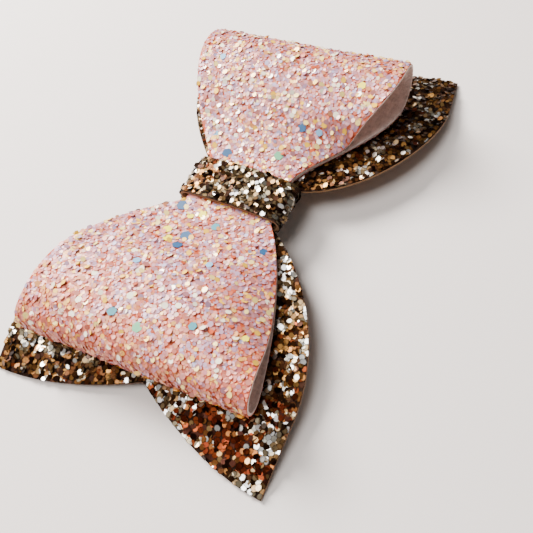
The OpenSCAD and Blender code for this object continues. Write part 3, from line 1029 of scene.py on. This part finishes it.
class BOW_OT_loops(BuildOperator):
    """Loop band: felt lining, resin coat, fine pink flakes and coloured accents"""

    bl_idname = "hair_bow.loops"
    bl_label = "Loops"

    # Shares of the band's reach between which a loop's upper layer lies
    upper_layer = (0.56, 0.92)

    def build(self, sizes, flakes, colours):
        rng = np.random.default_rng(23)
        band = LoopBand(Bow(sizes))
        alongs = np.linspace(band.low_end, band.high_end, 420)
        lining = make_sheet(
            "loop_felt", band, alongs, 44, 0.0, sizes.felt_t, material("felt_pale"), -1
        )
        settle(lining, "pale_felt", "loop_lining")
        coat_top = sizes.felt_t + sizes.glitter_t - 2 * sizes.flake_bed
        coat = make_sheet(
            "loop_coat", band, alongs, 44, sizes.felt_t, coat_top, material("pink_resin"), -1
        )
        settle(coat, "pink_glitter", "loop_glitter")
        accents = self.draw_accents(np.random.default_rng(61), band, flakes.accent_size)
        size = flakes.pink_size
        widest = LEFT_LOOP_EDGES[1][0]
        both = (band.low_end, band.high_end)
        # Name, finish, spacing in flake widths, ends, scale and its spread, share of the tilt,
        # depth of the bed, and where flakes crowd
        layers = (
            ("near_loop_flakes", "pink_flake", 0.82, (band.low_end, 0.0), 1.0, 0.28, 1.0, 0.1, None),
            ("far_loop_flakes", "pink_flake", 0.82, (0.0, band.high_end), 1.0, 0.28, 1.0, 0.1, None),
            ("loop_loose_flakes", "pink_flake", 2.2, both, 1.15, 0.25, 1.6, 0.14, None),
            ("loop_sparkle_flakes", "sparkle_flake", 1.25, both, 1.3, 0.2, 1.7, 0.16, self.knots),
        )
        made = []
        for name, finish, pitch, ends, scale, spread, lean, bed, density in layers:
            along, across = scatter(rng, band, size * pitch, 0.1, *ends, widest, density)
            free = np.ones(len(along), bool)
            for _, spots in accents:
                for a, w, accent in spots:
                    reach = 0.4 * accent * flakes.accent_size + 0.1
                    free &= np.hypot(along - a, across - w) > reach
            places = (along[free], across[free])
            tilt = lean * flakes.pink_tilt
            made.append(
                make_flakes(
                    name, rng, band, places, scale * size, spread, tilt, coat_top, bed, material(finish)
                )
            )
        for name, spots in accents:
            along, across, scale = np.array(spots).T
            width = scale * flakes.accent_size
            tilt = math.radians(4)
            made.append(
                make_flakes(
                    f"{name}_flakes", rng, band, (along, across), width, 0.1, tilt, coat_top, 0.05,
                    material(name), lift=0.1,
                )
            )
        for obj in made:
            settle(obj, "pink_glitter")
        widths = band.side(alongs, 0) + band.side(alongs, 1)
        flat = ((band.high_end - band.low_end) * MM, 2 * widest * MM)

    def draw_accents(self, rng, band, size):
        """Random places for the larger coloured flakes, clear of each other on the upper layers"""
        taken, groups = [], []
        for name, _, count, mean_scale in ACCENTS:
            spots = []
            while len(spots) < count:
                end = band.low_end if rng.random() < 0.5 else band.high_end
                along = end * rng.uniform(*self.upper_layer)
                edge = min(band.side(np.array([along]), side)[0] for side in (0, 1))
                across = edge * rng.uniform(-0.85, 0.85)
                scale = mean_scale * rng.uniform(0.75, 1.25)
                clear = [
                    math.hypot(along - a, across - w) > 0.6 * size * (scale + other)
                    for a, w, other in taken
                ]
                if all(clear):
                    spots.append((along, across, scale))
                    taken.append(spots[-1])
            groups.append((name, spots))
        return groups

    @staticmethod
    def knots(along, across):
        """Share of places that hold a sparkle: scattered ones, and knots where they crowd"""
        lengthwise = np.sin(along * 0.83 + 1.3 * np.sin(across * 0.47))
        crosswise = np.sin(across * 0.91 + 1.1 * np.sin(along * 0.39))
        knot = 0.7 * np.clip(lengthwise * crosswise - 0.4, 0, 1)
        right = along > 0
        return 0.1 + 0.05 * right + knot * (1 + 0.6 * right)


class BOW_OT_wrap(BuildOperator):
    """Centre wrap: felt, resin coat and coarse bronze flakes"""

    bl_idname = "hair_bow.wrap"
    bl_label = "Centre wrap"

    def build(self, sizes, flakes, colours):
        rng = np.random.default_rng(37)
        band = WrapBand(Bow(sizes))
        alongs = np.linspace(0, band.high_end, 220)
        felt = make_sheet("wrap_felt", band, alongs, 16, 0.0, sizes.felt_t, material("felt_tan"))
        settle(felt, "tan_felt", "wrap_backing")
        coat_top = sizes.felt_t + sizes.glitter_t - 2 * sizes.flake_bed
        coat = make_sheet("wrap_coat", band, alongs, 16, sizes.felt_t, coat_top, material("bronze_resin"))
        settle(coat, "bronze_glitter", "wrap_glitter")
        size = flakes.bronze_size
        # Name, spacing in flake widths, depth of the bed and tilt
        layers = (
            ("wrap_flakes", 0.78, 0.1, flakes.bronze_tilt),
            ("wrap_loose_flakes", 1.5, 0.2, 1.6 * flakes.bronze_tilt),
        )
        for name, pitch, bed, tilt in layers:
            places = scatter(rng, band, size * pitch, 0.12, 0.0, band.high_end, band.bow.wrap_half)
            obj = make_flakes(
                name, rng, band, places, size, 0.06, tilt, coat_top, bed, material("bronze_flake")
            )
            settle(obj, "bronze_glitter")


class BOW_OT_clip(BuildOperator):
    """Clip: ribbed ribbon round the plate, and the wound spring"""

    bl_idname = "hair_bow.clip"
    bl_label = "Clip"

    # Thickness of the upper plate's steel, and length of ribbon tucked under it
    plate_t = 0.5
    tuck = 14

    def build(self, sizes, flakes, colours):
        self.ribbon()
        self.spring()

    def ribbon(self):
        """Ribbon with real ribs, over the plate, round its nose and back under it"""
        thick = RIBBON_HIGH[2] - PLATE_HIGH[2]
        plate_low = PLATE_HIGH[2] - self.plate_t
        mid_z = (PLATE_HIGH[2] + plate_low) / 2
        radius = (PLATE_HIGH[2] - plate_low) / 2
        nose_x = RIBBON_LOW[0] + thick + radius
        tuck_x = nose_x + self.tuck
        step, rib_height, rib_pitch, glue_gap = 0.06, 0.05, 0.42, 0.02
        top = [[x, mid_z + radius] for x in np.arange(RIBBON_HIGH[0], nose_x, -step)]
        turn = np.linspace(math.pi / 2, 3 * math.pi / 2, 16)
        nose = [[nose_x + radius * math.cos(t), mid_z + radius * math.sin(t)] for t in turn]
        under = [[x, mid_z - radius] for x in np.arange(nose_x + step, tuck_x, step)]
        path = np.array(top + nose + under)
        run = Run(path)
        outward = np.c_[-run.direction[:, 1], run.direction[:, 0]]
        rib = rib_height * (0.5 + 0.5 * np.cos(run.dist * 2 * math.pi / rib_pitch))
        inner = path + outward * glue_gap
        outer = path + outward * (thick - rib_height + rib)[:, None]
        half = RIBBON_HIGH[1]
        columns = np.linspace(-half, half, 9)
        points = []
        for layer in (outer, inner):
            for y in columns:
                points += [[x, y, z] for x, z in layer]
        faces = closed_faces(len(columns), len(path))
        obj = make_object("grosgrain_ribbon", points, faces[:, ::-1].tolist(), material("grosgrain"))
        settle(obj, "grosgrain_ribbon", "clip_ribbon")

    def spring(self):
        """Wound wire: the coil with the leg that bears on the plate, and the leg on the handle"""
        centre_x = (PIN_LOW[0] + PIN_HIGH[0]) / 2
        centre_z = (PIN_LOW[2] + PIN_HIGH[2]) / 2
        # Radius of the wire, length of a leg, rise of the plate's leg in radians, and turns
        wire_r, leg, leg_rise, turns = 0.2, 4.4, 0.12, 7.5
        coil_r = centre_x - SPRING_LOW[0] - wire_r
        half = SPRING_HIGH[1] - wire_r
        leg_x = centre_x + leg * math.cos(leg_rise)
        coil = [[leg_x, half, centre_z + coil_r + leg * math.sin(leg_rise)]]
        for share in np.linspace(0, 1, int(turns * 20) + 1):
            turn = math.pi / 2 + 2 * math.pi * turns * share
            x = centre_x + coil_r * math.cos(turn)
            z = centre_z + coil_r * math.sin(turn)
            coil.append([x, half - 2 * half * share, z])
        # The handle's leg starts inside the coil's wire, so it is a little thinner
        handle_leg = [coil[-2], coil[-1], [centre_x + leg, -half, centre_z - coil_r]]
        settle(self.wire("wound_spring", coil, wire_r), "spring_wire", "clip_spring")
        settle(self.wire("spring_handle_leg", handle_leg, 0.98 * wire_r), "spring_wire", body=JAW_BODY)

    @staticmethod
    def wire(name, path, radius):
        """A round wire along points in millimetres"""
        curve = bpy.data.curves.new(name, "CURVE")
        curve.dimensions = "3D"
        curve.bevel_depth = radius * MM
        curve.bevel_resolution = 3
        curve.use_fill_caps = True
        spline = curve.splines.new("POLY")
        spline.points.add(len(path) - 1)
        for point, place in zip(spline.points, path):
            point.co = (*[c * MM for c in place], 1)
        curve.materials.append(material("music_wire"))
        holder = bpy.data.objects.new("wire_path", curve)
        bpy.context.scene.collection.objects.link(holder)
        depsgraph = bpy.context.evaluated_depsgraph_get()
        mesh = bpy.data.meshes.new_from_object(holder.evaluated_get(depsgraph))
        bpy.data.objects.remove(holder)
        obj = bpy.data.objects.new(name, mesh)
        bpy.context.scene.collection.objects.link(obj)
        mesh.polygons.foreach_set("use_smooth", np.ones(len(mesh.polygons), bool))
        return obj


class BOW_OT_stage(BuildOperator):
    """Pale floor, soft studio lights and the camera"""

    bl_idname = "hair_bow.stage"
    bl_label = "Stage"

    # Camera place in metres, turn in degrees, focal length in millimetres, and shift
    camera_at = (-0.05006, -0.0461, 0.08934)
    camera_turn = (29.484, 7.483, -63.829)
    lens = 39.27
    shift = (-0.0362, 0.0195)
    # Name, place in metres, width in metres, power in watts and tint of each light
    softboxes = (
        ("key_softbox", (0.12, 0.32, 0.3), 0.2, 8.5, (1.0, 0.96, 0.92)),
        ("top_softbox", (-0.12, 0.1, 0.45), 0.25, 2.2, (1.0, 0.98, 0.96)),
    )
    # Half of the floor's width, in metres
    floor_half = 1.5

    def build(self, sizes, flakes, colours):
        half = self.floor_half
        corners = [(-half, -half, 0), (half, -half, 0), (half, half, 0), (-half, half, 0)]
        mesh = bpy.data.meshes.new("studio_floor")
        mesh.from_pydata(corners, [], [(0, 1, 2, 3)])
        mesh.materials.append(floor_finish())
        floor = bpy.data.objects.new("studio_floor", mesh)
        bpy.context.scene.collection.objects.link(floor)
        for softbox in self.softboxes:
            self.light(*softbox)
        world = bpy.data.worlds.new("studio")
        world.use_nodes = True
        background = world.node_tree.nodes["Background"]
        background.inputs["Color"].default_value = (1.0, 0.97, 0.95, 1)
        background.inputs["Strength"].default_value = 0.16
        bpy.context.scene.world = world
        data = bpy.data.cameras.new("camera")
        data.lens = self.lens
        data.sensor_width = 36
        data.shift_x, data.shift_y = self.shift
        data.clip_start, data.clip_end = 0.005, 10
        camera = bpy.data.objects.new("camera", data)
        camera.location = self.camera_at
        camera.rotation_euler = [math.radians(a) for a in self.camera_turn]
        bpy.context.scene.collection.objects.link(camera)
        bpy.context.scene.camera = camera

    @staticmethod
    def light(name, place, size, power, tint):
        """A square softbox aimed at the bow"""
        data = bpy.data.lights.new(name, "AREA")
        data.size = size
        data.energy = power
        data.color = tint
        obj = bpy.data.objects.new(name, data)
        obj.location = place
        direction = -np.array(place)
        turn = math.atan2(direction[1], direction[0])
        drop = math.atan2(math.hypot(direction[0], direction[1]), -direction[2])
        obj.rotation_euler = (drop, 0, turn - math.pi / 2)
        bpy.context.scene.collection.objects.link(obj)


class BOW_PT_panel(bpy.types.Panel):
    """Lists the build steps and the settings"""

    bl_idname = "BOW_PT_panel"
    bl_label = "Hair Bow"
    bl_space_type = "VIEW_3D"
    bl_region_type = "UI"
    bl_category = "Hair Bow"

    def draw(self, context):
        for step in STEPS:
            self.layout.operator(step.bl_idname)
        for name, group in SETTINGS:
            box = self.layout.box()
            for prop in group.__annotations__:
                box.prop(getattr(context.scene, name), prop)


STEPS = (BOW_OT_stage, BOW_OT_finishes, BOW_OT_tails, BOW_OT_loops, BOW_OT_wrap, BOW_OT_clip)
CLASSES = (BOW_PG_sizes, BOW_PG_flakes, BOW_PG_colours, *STEPS, BOW_PT_panel)


def register():
    """Registers the classes and hangs the settings on the scene"""
    for item in CLASSES:
        bpy.utils.register_class(item)
    for name, group in SETTINGS:
        setattr(bpy.types.Scene, name, bpy.props.PointerProperty(type=group))


def unregister():
    """Takes the settings and the classes away again"""
    for name, _ in SETTINGS:
        delattr(bpy.types.Scene, name)
    for item in reversed(CLASSES):
        bpy.utils.unregister_class(item)


def main():
    """Builds the whole bow"""
    register()
    for step in STEPS:
        group, name = step.bl_idname.split(".")
        getattr(getattr(bpy.ops, group), name)()


if __name__ == "__main__":
    main()
